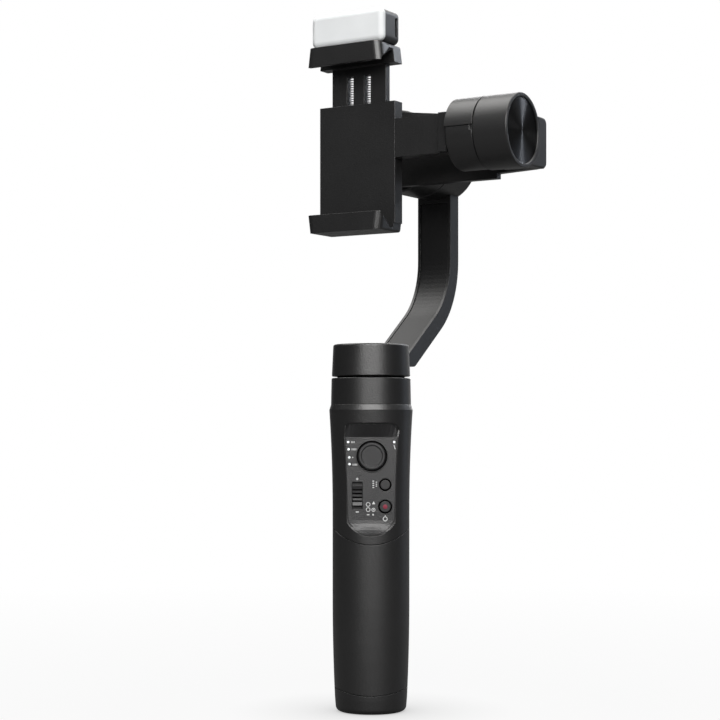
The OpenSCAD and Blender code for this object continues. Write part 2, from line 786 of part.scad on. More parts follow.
// Motors, drawn with the base's floor at z = 0 and the rotor above it

teeth = 12;
poles = 14;
core_wall = 1.6;
core_r = hub_r + core_wall;
shoe_t = 0.8;

module motor_base(r0, r1, h, hub_top) {
    inner = r1 - motor_wall;
    difference() {
        rotate_extrude() polygon([
            [0, 0], [r0, 0], [r1, h - motor_edge], [r1 - motor_edge, h], [inner, h], [inner, motor_floor],
            [hub_r, motor_floor], [hub_r, hub_top], [0, hub_top]]);
        translate([0, 0, motor_floor]) cylinder(r = bearing_r, h = hub_top);
        translate([0, 0, -over]) cylinder(r = shaft_r + shaft_fit + seam, h = hub_top);
    }
}

// Rotor drum, open side at z = 0
module motor_rotor(r0, r1, h) {
    edge = 1;
    inner = r1 - motor_wall;
    difference() {
        rotate_extrude() polygon(concat(
            [[0, h - motor_floor], [inner, h - motor_floor], [inner, 0], [r0 - motor_edge, 0],
             [r0, motor_edge]],
            arc([r1 - edge, h - edge], edge, 0, 90, 6), [[0, h]]));
        cylinder(r = shaft_r, h = h + over);
    }
}

module motor_stator(r, h) {
    difference() {
        union() {
            cylinder(r = core_r, h = h);
            for (i = [0:teeth - 1]) rotate(i * 360 / teeth)
                translate([hub_r, -tooth_w / 2, 0]) cube([r - hub_r - shoe_t / 2, tooth_w, h]);
            difference() {
                cylinder(r = r, h = h);
                translate([0, 0, -over]) cylinder(r = r - shoe_t, h = h + 2 * over);
                for (i = [0:teeth / 2 - 1]) rotate((i + 0.5) * 360 / teeth)
                    translate([-2 * r, -shoe_t / 2, -over]) cube([4 * r, shoe_t, h + 2 * over]);
            }
        }
        translate([0, 0, -over]) cylinder(r = hub_r, h = h + 2 * over);
    }
}

module motor_coils(r, h) {
    end_t = coil_t / 2;
    length = r - shoe_t - core_r - 3 * shoe_t / 4;
    for (i = [0:teeth - 1]) rotate(i * 360 / teeth) translate([core_r + shoe_t / 4, 0, 0]) difference() {
        translate([0, -tooth_w / 2 - coil_t, -end_t]) cube([length, tooth_w + 2 * coil_t, h + 2 * end_t]);
        translate([-length, -tooth_w / 2, 0]) cube([3 * length, tooth_w, h]);
    }
}

module motor_magnets(r, h) {
    slit = magnet_t / 2;
    difference() {
        cylinder(r = r, h = h);
        translate([0, 0, -over]) cylinder(r = r - magnet_t, h = h + 2 * over);
        for (i = [0:poles / 2 - 1]) rotate(i * 360 / poles)
            translate([-2 * r, -slit / 2, -over]) cube([4 * r, slit, h + 2 * over]);
    }
}

module motor_bearings(hub_top) {
    for (z = [motor_floor, hub_top - bearing_w]) translate([0, 0, z]) difference() {
        cylinder(r = bearing_r, h = bearing_w);
        translate([0, 0, -over]) cylinder(r = shaft_r + shaft_fit, h = bearing_w + 2 * over);
    }
}

module motor_shaft(z0, z1) {
    translate([0, 0, z0]) difference() {
        cylinder(r = shaft_r, h = z1 - z0);
        translate([0, 0, -over]) cylinder(r = shaft_bore, h = z1 - z0 + 2 * over);
    }
}

// Heights inside a motor whose base is hb long and whose rotor is hr long
function rotor_at(hb, gap = motor_gap) = hb + gap;
function hub_top_at(hb, hr, gap = motor_gap) = rotor_at(hb, gap) + hr - motor_floor - 3 * motor_gap / 2;
function magnet_h(hr) = hr - motor_floor - 2 * motor_gap;
function stator_r(r1) = r1 - motor_wall - magnet_t - air_gap;
function stator_h(hr) = magnet_h(hr) - 2 * coil_t - motor_gap;

module at_pan() {
    translate([0, 0, seat_z]) children();
}

pan_hub = hub_top_at(pan_base_h, pan_rotor_h, pan_gap);

module pan_motor_base() {
    color(body_color) at_pan() motor_base(pan_r, pan_rim_r, pan_base_h, pan_hub);
}

module pan_stator() {
    color(steel_color) at_pan() translate([0, 0, rotor_at(pan_base_h, pan_gap) + coil_t])
        motor_stator(stator_r(pan_top_r), stator_h(pan_rotor_h));
}

module pan_coils() {
    color(copper_color) at_pan() translate([0, 0, rotor_at(pan_base_h, pan_gap) + coil_t])
        motor_coils(stator_r(pan_top_r), stator_h(pan_rotor_h));
}

module pan_bearings() {
    color(steel_color) at_pan() motor_bearings(pan_hub);
}

module pan_rotor() {
    color(body_color) translate([0, 0, rotor_z]) motor_rotor(pan_rotor_r, pan_top_r, pan_rotor_h);
}

module pan_magnets() {
    color("silver") at_pan() translate([0, 0, rotor_at(pan_base_h, pan_gap) + motor_gap])
        motor_magnets(pan_top_r - motor_wall, magnet_h(pan_rotor_h));
}

module pan_shaft() {
    color(steel_color) at_pan() motor_shaft(motor_floor, drum_top - seat_z - seam);
}

// Pan arm, drawn as an outline of Y and height, widened along X

bend_turn = 90 - arm_slope;
bend_y = arm_reach - bend_r;
bend_rise = tan(arm_slope) * (bend_y + bend_r * cos(bend_turn)) + bend_r * sin(bend_turn);
bend_z = rotor_z - arm_root + bend_rise;
arm_low = rotor_z + arm_foot;
bend_c = [bend_y, bend_z];
arm_dir = [cos(arm_slope), sin(arm_slope)];
function bend_point(d) = bend_c + (bend_r + d) * [cos(bend_turn), -sin(bend_turn)];
// Point on the sloping face d below the inner face, at height z
function slope_at_z(d, z) = bend_point(d) - arm_dir * (bend_point(d)[1] - z) / arm_dir[1];
// Point on the sloping face d below the inner face, at distance y
function slope_at_y(d, y) = bend_point(d) - arm_dir * (bend_point(d)[0] - y) / arm_dir[0];

// Strip of the arm between depths d0 and d1 below its inner face, from y0 to height z1
module arm_strip(d0, d1, y0, z1, w) {
    rotate([90, 0, 90]) translate([0, 0, -w / 2]) linear_extrude(w) polygon(concat(
        [slope_at_y(d0, y0)], arc(bend_c, bend_r + d0, -bend_turn, 0, 14),
        [[arm_reach + d0, z1], [arm_reach + d1, z1]],
        arc(bend_c, bend_r + d1, 0, -bend_turn, 14), [slope_at_y(d1, y0)]));
}

module pan_arm() {
    strip_top = head_z - roll_r - arm_border;
    strip_low = pan_r + 2 * arm_border;
    color(body_color) difference() {
        union() {
            rotate([0, 0, -head_yaw]) difference() {
                arm_strip(0, arm_t, 0, head_z, arm_w);
                translate([-arm_w, -arm_w, arm_low - 2 * arm_w]) cube([2 * arm_w, 4 * arm_w, 2 * arm_w]);
                arm_foot_rounding(slope_at_z(arm_t, arm_low));
                arm_strip(-over, arm_inset, strip_low, strip_top, arm_w - 2 * arm_border);
            }
            in_head() translate([0, arm_reach, 0]) rotate([-90, 0, 0]) cylinder(r = roll_r, h = arm_t);
        }
        translate([0, 0, rotor_z - over])
            cylinder(r1 = pan_rotor_r, r2 = pan_top_r, h = pan_rotor_h + 2 * over);
        translate([0, 0, drum_top]) cylinder(r = pan_top_r, h = arm_w);
        in_head() translate([0, arm_reach + arm_t - cap_recess, 0]) rotate([-90, 0, 0])
            cylinder(r = roll_r - motor_wall, h = arm_t);
        in_head() translate([0, arm_reach - over, 0]) rotate([-90, 0, 0]) cylinder(r = wire_r, h = 2 * arm_t);
    }
}

// Takes the sharp edge off the arm's lowest corner c
module arm_foot_rounding(c) {
    half = (180 - arm_slope) / 2;
    run = arm_corner / tan(half);
    start = c + run * arm_dir;
    end = c - [run, 0];
    centre = end + [0, arm_corner];
    rotate([90, 0, 90]) translate([0, 0, -arm_w]) linear_extrude(2 * arm_w) polygon(concat(
        [c + [seam, -seam]], [start + [seam, -seam]], arc(centre, arm_corner, arm_slope - 90, -90, 5),
        [end - [0, seam]]));
}

module pan_arm_cover() {
    gap = seam / 2;
    color(panel_color) rotate([0, 0, -head_yaw])
        arm_strip(strip_step, arm_inset, pan_r + 2 * arm_border + gap, head_z - roll_r - arm_border - gap,
            arm_w - 2 * arm_border - 2 * gap);
}

// Roll motor, from the arm towards the phone

roll_base_h = roll_base_share * (arm_reach - roll_front - motor_gap);
roll_rotor_h = arm_reach - roll_base_h - motor_gap - roll_front;
module at_roll() {
    in_head() translate([0, arm_reach, 0]) rotate([90, 0, 0]) children();
}

module roll_motor_base() {
    color(body_color) at_roll() motor_base(roll_r, roll_r, roll_base_h, hub_top_at(roll_base_h, roll_rotor_h));
}

module roll_end_cap() {
    color(panel_color) in_head() translate([0, arm_reach + arm_t - cap_recess, 0]) rotate([-90, 0, 0])
        cylinder(r = roll_r - motor_wall - seam / 2, h = cap_recess - cap_step);
}

module roll_stator() {
    color(steel_color) at_roll() translate([0, 0, rotor_at(roll_base_h) + coil_t])
        motor_stator(stator_r(roll_r), stator_h(roll_rotor_h));
}

module roll_coils() {
    color(copper_color) at_roll() translate([0, 0, rotor_at(roll_base_h) + coil_t])
        motor_coils(stator_r(roll_r), stator_h(roll_rotor_h));
}

module roll_bearings() {
    color(steel_color) at_roll() motor_bearings(hub_top_at(roll_base_h, roll_rotor_h));
}

module roll_rotor() {
    color(body_color) at_roll() translate([0, 0, rotor_at(roll_base_h)])
        motor_rotor(roll_r, roll_r, roll_rotor_h);
}

module roll_magnets() {
    color("silver") at_roll() translate([0, 0, rotor_at(roll_base_h) + motor_gap])
        motor_magnets(roll_r - motor_wall, magnet_h(roll_rotor_h));
}

module roll_shaft() {
    color(steel_color) at_roll() motor_shaft(motor_floor, arm_reach - slab_front - seam);
}

// Roll arm: X to the right, Z up, drawn in the head

slab_t = roll_front - slab_front;
module slab_layer(y, d, t) {
    right = tilt_end - d;
    r = slab_corner;
    lean = asin((slab_r - slab_up) / tilt_end);
    translate([0, y + t, 0]) rotate([90, 0, 0]) linear_extrude(t) polygon(concat(
        arc([right - r, d + r - slab_down], r, -90, 0, 5),
        arc([right - r, slab_up - d - r], r, 0, 90 - lean, 5),
        arc([0, 0], slab_r - d, 90 - lean, 270, 20)));
}

// Block of the tilt motor's saddle from x0 to x1, drawn in by d
module saddle_block(x0, x1, d) {
    front = slab_front - saddle_t + d;
    back = roll_front - slab_corner;
    translate([x0, 0, 0]) rotate([90, 0, 90]) linear_extrude(x1 - x0) polygon(concat(
        [[front, d - slab_down]], arc([back, slab_corner - slab_down], slab_corner - d, -90, 0, 5),
        arc([back, slab_up - slab_corner], slab_corner - d, 0, 90, 5), [[front, slab_up - d]]));
}

module roll_arm() {
    saddle = tilt_base_h - seam;
    color(body_color) in_head() difference() {
        union() {
            hull() {
                slab_layer(slab_front, 0, slab_t - slab_bevel_t);
                slab_layer(roll_front - seam, slab_bevel, seam);
            }
            translate([0, slab_front, -slab_r]) cube([rib_end, slab_t - slab_bevel_t, rib_h]);
            hull() {
                saddle_block(tilt_end - saddle, tilt_end - saddle_edge, 0);
                saddle_block(tilt_end - saddle_edge, tilt_end, saddle_edge);
            }
        }
        translate([tilt_end + over, 0, 0]) rotate([0, -90, 0]) cylinder(r = tilt_r, h = tilt_end);
        translate([0, slab_front - over, 0]) rotate([-90, 0, 0]) cylinder(r = shaft_r, h = 2 * slab_t);
        arm_cover_shape(seam / 2, cap_recess + cover_t);
    }
}

// Shape of the cover in the back of the roll arm, grown by g
module arm_cover_shape(g, deep) {
    length = tilt_end - roll_r - 3 * slab_corner;
    height = slab_up + slab_down - 2 * slab_bevel - slab_corner;
    middle = roll_r + slab_corner + length / 2;
    translate([middle, roll_front - cover_t, (slab_up - slab_down) / 2]) rotate([-90, 0, 0])
        linear_extrude(deep) polygon(round_rect(length + 2 * g, height + 2 * g, slab_corner / 2 + g));
}

module roll_arm_cover() {
    color(panel_color) in_head() arm_cover_shape(0, cover_t - seam);
}

// Tilt motor, from the outer rim towards the phone

module at_tilt() {
    in_head() translate([tilt_end - cap_recess, 0, 0]) rotate([0, -90, 0]) children();
}

tilt_hub = hub_top_at(tilt_base_h - cap_recess, tilt_rotor_h);
rotor_r = tilt_r - shell_t;
rotor_left = tilt_end - tilt_base_h - motor_gap - tilt_rotor_h;

module tilt_motor_base() {
    color(body_color) {
        at_tilt() motor_base(tilt_r, tilt_r, tilt_base_h - cap_recess, tilt_hub);
        in_head() translate([tilt_end, 0, 0]) rotate([0, -90, 0]) rotate_extrude() polygon([
            [tilt_r - motor_wall + seam, 0], [tilt_r - seam, 0], [tilt_r, seam], [tilt_r, cap_recess + seam],
            [tilt_r - motor_wall, cap_recess + seam], [tilt_r - motor_wall, seam]]);
    }
}

module tilt_end_cap() {
    color("silver") in_head() translate([tilt_end - cap_step, 0, 0]) rotate([0, -90, 0])
        cylinder(r = tilt_r - motor_wall - seam / 2, h = cap_recess - cap_step);
}

module tilt_stator() {
    color(steel_color) at_tilt() translate([0, 0, rotor_at(tilt_base_h - cap_recess) + coil_t])
        motor_stator(stator_r(rotor_r), stator_h(tilt_rotor_h));
}

module tilt_coils() {
    color(copper_color) at_tilt() translate([0, 0, rotor_at(tilt_base_h - cap_recess) + coil_t])
        motor_coils(stator_r(rotor_r), stator_h(tilt_rotor_h));
}

module tilt_bearings() {
    color(steel_color) at_tilt() motor_bearings(tilt_hub);
}

// Rotor with a small latch pocket under the outer end of the shell
module tilt_rotor() {
    latch_w = 1.5;
    latch_h = 2.2;
    color(body_color) difference() {
        at_tilt() translate([0, 0, rotor_at(tilt_base_h - cap_recess)])
            motor_rotor(rotor_r, rotor_r, tilt_rotor_h);
        in_head() translate([rotor_left + tilt_rotor_h - latch_w, -2 * tilt_r, shell_z - latch_h])
            cube([2 * latch_w, 2 * tilt_r - rotor_r + shell_t, latch_h]);
    }
}

// Half shell over the rotor
module tilt_shell() {
    color(body_color) in_head() difference() {
        translate([rotor_left, 0, 0]) rotate([0, 90, 0]) difference() {
            cylinder(r = tilt_r, h = tilt_rotor_h);
            translate([0, 0, -over]) cylinder(r = rotor_r, h = tilt_rotor_h + 2 * over);
        }
        translate([rotor_left - over, -2 * tilt_r, -4 * tilt_r + shell_z])
            cube([tilt_rotor_h + 2 * over, 4 * tilt_r, 4 * tilt_r]);
    }
}

module tilt_magnets() {
    color("silver") at_tilt() translate([0, 0, rotor_at(tilt_base_h - cap_recess) + motor_gap])
        motor_magnets(rotor_r - motor_wall, magnet_h(tilt_rotor_h));
}

module tilt_shaft() {
    color(steel_color) at_tilt()
        motor_shaft(motor_floor, tilt_end - cap_recess - rotor_left + flange_t - seam);
}

// Clamp

lip_z = grip_half - lip_over;
apex_z = grip_half + groove_depth;
upper_top = apex_z + upper_jaw_t;
lower_bottom = apex_z + lower_jaw_t;
cavity_low = tongue_low + jaw_in + 2 * rod_r;
cavity_front = clamp_face - clamp_wall;
cavity_back = clamp_back + cover_t;
rod_y = (cavity_front + cavity_back) / 2;
tongue_front = cavity_front - slide_gap;
tongue_back = cavity_back + slide_gap;
slot_top = apex_z - upper_jaw_t - 2 * lip_t - pad_t;

clamp_right = jaw_x + jaw_w / 2;

// Places what follows in the clamp, whose middle lies a little to the left of the roll axis
module in_clamp() {
    in_head() translate([jaw_x, 0, 0]) children();
}

module clamp_bracket() {
    color(body_color) in_head() difference() {
        union() {
            translate([clamp_right, -clamp_face, -bracket_h / 2])
                cube([rotor_left - clamp_right, clamp_face - clamp_back, bracket_h]);
            translate([rotor_left - flange_t, 0, 0]) rotate([0, 90, 0]) cylinder(r = flange_r, h = flange_t);
        }
        translate([0, -clamp_face - 2 * flange_r, -2 * flange_r]) cube([tilt_end, 2 * flange_r, 4 * flange_r]);
        translate([rotor_left - 2 * flange_t, 0, 0]) rotate([0, 90, 0])
            cylinder(r = shaft_r, h = 4 * flange_t);
    }
}

module stop_pad() {
    color(soft_color) in_head() translate([rotor_left - stop_l, -clamp_face - stop_out, -bracket_h / 2])
        cube([stop_l, stop_out, bracket_h]);
}

// Profile of a jaw in Y and height, for a jaw whose outer face is at height top; cut deeper by d
module jaw_profile(top, d) {
    lip_y = -jaw_front + lip_t;
    apex_y = (lip_y - clamp_face) / 2 + lip_t;
    polygon([
        [-jaw_front, top], [-jaw_front, lip_z], [lip_y - d, lip_z], [lip_y - d, lip_z + lip_t / 2],
        [apex_y - d, apex_z + d], [-clamp_face, apex_z + d], [-clamp_face, apex_z - 2 * lip_t],
        [-clamp_back, apex_z - 2 * lip_t], [-clamp_back, top]]);
}

// Front view of a jaw, with round ends to its outer face
module jaw_face(top) {
    side = jaw_w / 2 - jaw_taper * (1 - jaw_edge / (top - lip_z)) - jaw_edge;
    level = top - jaw_edge;
    polygon(concat([[-jaw_w, level], [-jaw_w, 0], [jaw_w, 0], [jaw_w, level]],
        arc([side, level], jaw_edge, 0, 90, 4), arc([-side, level], jaw_edge, 90, 180, 4)));
}

// Plan of a jaw, narrower by d on each side, with round front corners
module jaw_plan(d) {
    side = jaw_w / 2 - d;
    polygon(concat(
        arc([side - jaw_corner, jaw_corner - jaw_front], jaw_corner, 0, -90, 6),
        arc([jaw_corner - side, jaw_corner - jaw_front], jaw_corner, -90, -180, 6),
        [[-side, -clamp_back], [side, -clamp_back]]));
}

// Profile of the rubber pad in a jaw's groove
module pad_profile() {
    lip_y = -jaw_front + lip_t;
    apex_y = (lip_y - clamp_face) / 2 + lip_t;
    polygon([
        [lip_y, lip_z], [lip_y, lip_z + lip_t / 2], [apex_y, apex_z], [-clamp_face, apex_z],
        [-clamp_face, apex_z + pad_t], [apex_y - pad_t, apex_z + pad_t],
        [lip_y - pad_t, lip_z + lip_t / 2], [lip_y - pad_t, lip_z]]);
}

// A jaw's hook, as the upper one
module jaw_hook(top, d) {
    intersection() {
        rotate([90, 0, 90]) translate([0, 0, -jaw_w]) linear_extrude(2 * jaw_w) jaw_profile(top, d);
        translate([0, -clamp_back, 0]) rotate([90, 0, 0]) linear_extrude(jaw_front) jaw_face(top);
        hull() {
            linear_extrude(lip_z) jaw_plan(0);
            translate([0, 0, top]) linear_extrude(seam) jaw_plan(jaw_taper);
        }
    }
}

// The rubber pad that lines a jaw's groove
module jaw_pad() {
    half = jaw_w / 2 - jaw_taper;
    rotate([90, 0, 90]) translate([0, 0, -half]) linear_extrude(2 * half) pad_profile();
}

module upper_jaw() {
    slot_w = 2 * (spring_r + slide_gap);
    color(body_color) in_clamp() difference() {
        union() {
            jaw_hook(upper_top, pad_t);
            translate([-tongue_w / 2, -tongue_front, -tongue_low])
                cube([tongue_w, tongue_front - tongue_back, tongue_low + apex_z - lip_t]);
        }
        for (e = [-1, 1]) {
            translate([e * spring_x - slot_w / 2, -clamp_face, -tongue_low - over])
                cube([slot_w, clamp_face, tongue_low + over + slot_top]);
            translate([e * rod_x, -rod_y, -tongue_low - over])
                cylinder(r = rod_r + shaft_fit, h = tongue_low + over + slot_top);
        }
    }
}

module upper_jaw_pad() {
    color(soft_color) in_clamp() jaw_pad();
}

// Room for the tongue, the springs and the rods
module clamp_cavity() {
    translate([-tongue_w / 2 - slide_gap, -cavity_front, -cavity_low])
        cube([tongue_w + 2 * slide_gap, cavity_front, cavity_low + clamp_top + over]);
}

// The cover's plate, drawn in by d
module cover_plate(d) {
    side = jaw_w / 2 - clamp_wall - d;
    low = lip_z - d;
    translate([-side, -cavity_back, -low]) cube([2 * side, cover_t, low + clamp_top]);
}

module clamp_body() {
    color(body_color) in_clamp() difference() {
        union() {
            mirror([0, 0, 1]) jaw_hook(lower_bottom, pad_t);
            translate([-jaw_w / 2, -clamp_face, -apex_z + lip_t / 2])
                cube([jaw_w, clamp_face - clamp_back, apex_z - lip_t / 2 + clamp_top]);
        }
        clamp_cavity();
        cover_plate(0);
        for (e = [-1, 1]) translate([e * rod_x, -rod_y, -cavity_low - 2 * rod_r])
            cylinder(r = rod_r, h = cavity_low);
    }
}

module clamp_cover() {
    color(panel_color) in_clamp() cover_plate(seam / 2);
}

module lower_jaw_pad() {
    color(soft_color) in_clamp() mirror([0, 0, 1]) jaw_pad();
}

module guide_rods() {
    color(steel_color) in_clamp() for (e = [-1, 1]) translate([e * rod_x, -rod_y, -cavity_low - 2 * rod_r])
        cylinder(r = rod_r, h = cavity_low + 2 * rod_r + slot_top - jaw_in - 2 * seam);
}

module clamp_springs() {
    color(steel_color) in_clamp() for (e = [-1, 1])
        translate([e * spring_x, -rod_y, -cavity_low]) difference() {
            cylinder(r = spring_r, h = cavity_low + slot_top);
            translate([0, 0, rod_r]) cylinder(r = spring_r / 2, h = cavity_low + slot_top - 2 * rod_r);
        }
}

// Fill light

// Rounded box of the light between two depths before the axis, drawn in by d
module light_box(y0, y1, d) {
    translate([light_x, -y1, upper_top + light_h / 2]) rotate([90, 0, 0]) linear_extrude(y0 - y1)
        polygon(round_rect(light_w - 2 * d, light_h - 2 * d, light_corner - d));
}

housing_front = light_front - diffuser_t;
housing_back = housing_front - light_depth;

module light_housing() {
    color(body_color) in_head() difference() {
        light_box(housing_front, housing_back, 0);
        light_box(housing_front + over, housing_back + light_wall, light_wall);
        translate([light_x, -housing_back - over, upper_top + light_h / 2]) rotate([-90, 0, 0])
            cylinder(r = button_r + button_gap, h = light_wall + 2 * over);
        translate([light_x, -housing_back - light_wall - light_port_w / 2, upper_top + light_h / 2])
            rotate([90, 0, 90]) linear_extrude(light_w)
                polygon(round_rect(light_port_w, light_port_l, light_port_w / 2 - shaft_fit));
    }
}

module light_diffuser() {
    round = diffuser_t - 2 * seam;
    w = light_w / 2 - light_corner;
    h = light_h / 2 - light_corner;
    color(white_color) in_head() translate([light_x, -housing_front, upper_top + light_h / 2])
        rotate([90, 0, 0]) hull() {
            linear_extrude(seam) polygon(round_rect(light_w, light_h, light_corner));
            for (x = [-w, w]) for (y = [-h, h]) translate([x, y, diffuser_t - round]) intersection() {
                resize([2 * light_corner, 2 * light_corner, 2 * round]) sphere(r = light_corner, $fn = 20);
                translate([-light_corner, -light_corner, 0]) cube([2 * light_corner, 2 * light_corner, round]);
            }
        }
}

module light_board() {
    color(board_color) in_head() light_box(housing_front, housing_front - board_t, light_wall);
}

button_r = 2.2;
module light_button() {
    color(control_color) in_head() translate([light_x, -housing_back - light_wall, upper_top + light_h / 2])
        rotate([-90, 0, 0]) rotate_extrude() polygon([
            [0, -light_wall], [button_r + button_ring, -light_wall], [button_r + button_ring, 0],
            [button_r, 0], [button_r, light_wall + seam], [button_r - seam, light_wall + 2 * seam],
            [0, light_wall + 2 * seam]]);
}

base_cap();
tripod_insert();
handle_tube();
grip_sleeve();
battery_holder();
battery_cell();
upper_housing();
control_panel();
joystick_base();
main_board();
charge_board();
button_switches();
indicator_lights();
usb_port();
pan_motor_base();
pan_stator();
pan_coils();
pan_bearings();
joystick_yoke();
joystick_cap();
zoom_slider();
mode_button();
record_button();
pan_rotor();
pan_magnets();
pan_shaft();
pan_arm();
pan_arm_cover();
roll_motor_base();
roll_end_cap();
roll_stator();
roll_coils();
roll_bearings();
roll_rotor();
roll_magnets();
roll_shaft();
roll_arm();
roll_arm_cover();
tilt_motor_base();
tilt_end_cap();
tilt_stator();
tilt_coils();
tilt_bearings();
tilt_rotor();
tilt_shell();
tilt_magnets();
tilt_shaft();
clamp_bracket();
stop_pad();
clamp_body();
clamp_cover();
lower_jaw_pad();
guide_rods();
clamp_springs();
upper_jaw();
upper_jaw_pad();
light_housing();
light_diffuser();
light_board();
light_button();
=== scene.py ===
import math

import bpy
from mathutils import Matrix, Vector


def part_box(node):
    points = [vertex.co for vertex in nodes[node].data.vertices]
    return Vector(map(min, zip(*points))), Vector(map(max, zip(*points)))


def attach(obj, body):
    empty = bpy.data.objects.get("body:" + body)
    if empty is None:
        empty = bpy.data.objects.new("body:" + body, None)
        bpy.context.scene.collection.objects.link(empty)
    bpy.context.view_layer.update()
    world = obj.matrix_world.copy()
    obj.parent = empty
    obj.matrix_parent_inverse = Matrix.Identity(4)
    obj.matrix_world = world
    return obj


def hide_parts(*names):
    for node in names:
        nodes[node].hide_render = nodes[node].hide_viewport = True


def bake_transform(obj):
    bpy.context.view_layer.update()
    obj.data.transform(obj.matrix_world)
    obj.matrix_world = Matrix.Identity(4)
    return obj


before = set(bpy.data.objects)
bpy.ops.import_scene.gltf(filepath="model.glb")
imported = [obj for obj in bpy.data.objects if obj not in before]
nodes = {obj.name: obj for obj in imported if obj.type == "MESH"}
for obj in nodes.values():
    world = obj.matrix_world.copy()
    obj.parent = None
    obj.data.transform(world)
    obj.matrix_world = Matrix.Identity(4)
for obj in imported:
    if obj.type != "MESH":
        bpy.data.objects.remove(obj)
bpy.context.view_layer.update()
bpy.ops.object.select_all(action="DESELECT")

# Camera
# Eye level a little above the control panel, looking straight along +Y from 0.83 m, as the
# photograph was taken; the frame is shifted up to take in the head.
eye = Vector((-0.00495, -0.826, 0.1238))
focal_px = 1837
picture_px = 720
horizon_px = 435
bpy.ops.object.camera_add(location=eye, rotation=(math.pi / 2, 0, 0))
camera = bpy.context.object
camera.name = "photo_camera"
camera.data.sensor_width = 36
camera.data.lens = focal_px / picture_px * camera.data.sensor_width
camera.data.shift_y = (horizon_px - picture_px / 2) / picture_px
camera.data.clip_end = 20
bpy.context.scene.camera = camera
bpy.context.scene.view_settings.view_transform = "Standard"


# Studio
# A plain floor under the foot and a white surround. The floor fades to pure white away from
# the foot, and keeps the object's shadow close to it.
def link(tree, source, target):
    tree.links.new(source, target)


def math_node(tree, operation, first, second):
    node = tree.nodes.new("ShaderNodeMath")
    node.operation = operation
    for value, socket in zip((first, second), node.inputs):
        if isinstance(value, (int, float)):
            socket.default_value = value
        else:
            link(tree, value, socket)
    return node.outputs[0]


def seen_rays(tree, gleam):
    rays = tree.nodes.new("ShaderNodeLightPath")
    glossy = rays.outputs["Is Glossy Ray"]
    mirrored = math_node(tree, "MAXIMUM", glossy, rays.outputs["Is Transmission Ray"])
    shown = math_node(tree, "MULTIPLY", mirrored, gleam)
    return math_node(tree, "MAXIMUM", rays.outputs["Is Camera Ray"], shown)


def ramp_node(tree, value, from_low, from_high, to_low, to_high):
    ramp = tree.nodes.new("ShaderNodeMapRange")
    limits = {"From Min": from_low, "From Max": from_high, "To Min": to_low, "To Max": to_high}
    for name, number in limits.items():
        ramp.inputs[name].default_value = number
    link(tree, value, ramp.inputs["Value"])
    return ramp.outputs["Result"]


floor_size = 10
floor_white = (0.94, 1)
floor_fade = (0.12, 0.7)
floor_gleam = 0.05
floor_grey = 0.06
floor_rough = 0.9
shadow_reach = 0.05
shadow_depth = (0.3, 1)
shadow_white = (0.6, 1)
bpy.ops.mesh.primitive_plane_add(size=floor_size, location=(0, 0, 0))
floor = bpy.context.object
floor.name = "studio_floor"
floor_mat = bpy.data.materials.new("studio_floor")
floor_mat.use_nodes = True
tree = floor_mat.node_tree
shader = tree.nodes["Principled BSDF"]
shader.inputs["Base Color"].default_value = (floor_grey, floor_grey, floor_grey, 1)
shader.inputs["Roughness"].default_value = floor_rough
white = tree.nodes.new("ShaderNodeEmission")
contact = tree.nodes.new("ShaderNodeAmbientOcclusion")
contact.inputs["Distance"].default_value = shadow_reach
darkened = ramp_node(tree, contact.outputs["AO"], *shadow_depth, *shadow_white)
link(tree, darkened, white.inputs["Strength"])
place = tree.nodes.new("ShaderNodeTexCoord")
reach = tree.nodes.new("ShaderNodeVectorMath")
reach.operation = "LENGTH"
link(tree, place.outputs["Object"], reach.inputs[0])
fade = ramp_node(tree, reach.outputs["Value"], *floor_fade, *floor_white)
mixed = tree.nodes.new("ShaderNodeMixShader")
link(tree, math_node(tree, "MULTIPLY", seen_rays(tree, floor_gleam), fade), mixed.inputs["Fac"])
link(tree, shader.outputs[0], mixed.inputs[1])
link(tree, white.outputs[0], mixed.inputs[2])
link(tree, mixed.outputs[0], tree.nodes["Material Output"].inputs["Surface"])
floor.data.materials.append(floor_mat)

# The surround is white to the eye. Reflections see it at about half that brightness in a patch
# behind the object, where the backdrop hangs, and the dim studio everywhere else.
backdrop_way = (0.17, 0.985, 0)
backdrop_edge = (0.72, 0.97)
backdrop_gleam = 0.55
studio_dimness = 0.04
world = bpy.data.worlds.new("studio")
bpy.context.scene.world = world
world.use_nodes = True
tree = world.node_tree
dim = tree.nodes["Background"]
dim.inputs["Color"].default_value = (0.92, 0.96, 1, 1)
dim.inputs["Strength"].default_value = studio_dimness
bright = tree.nodes.new("ShaderNodeBackground")
bright.inputs["Color"].default_value = (1, 1, 1, 1)
bright.inputs["Strength"].default_value = 1
place = tree.nodes.new("ShaderNodeTexCoord")
facing = tree.nodes.new("ShaderNodeVectorMath")
facing.operation = "DOT_PRODUCT"
facing.inputs[1].default_value = backdrop_way
link(tree, place.outputs["Generated"], facing.inputs[0])
behind = ramp_node(tree, facing.outputs["Value"], *backdrop_edge, 0, backdrop_gleam)
mixed = tree.nodes.new("ShaderNodeMixShader")
link(tree, seen_rays(tree, behind), mixed.inputs["Fac"])
link(tree, dim.outputs[0], mixed.inputs[1])
link(tree, bright.outputs[0], mixed.inputs[2])
link(tree, mixed.outputs[0], tree.nodes["World Output"].inputs["Surface"])


# Soft boxes
# A wide box high in front and a wide one overhead give the form. At the right behind stand a
# small cool strip and a weak cool box, and a box behind lights the back of the object.
def soft_box(name, place, aim, width, height, power, colour):
    bpy.ops.object.light_add(type="AREA", location=place)
    lamp = bpy.context.object
    lamp.name = name
    lamp.rotation_euler = (Vector(aim) - Vector(place)).to_track_quat("-Z", "Y").to_euler()
    lamp.data.shape = "RECTANGLE"
    lamp.data.size = width
    lamp.data.size_y = height
    lamp.data.energy = power
    lamp.data.color = colour


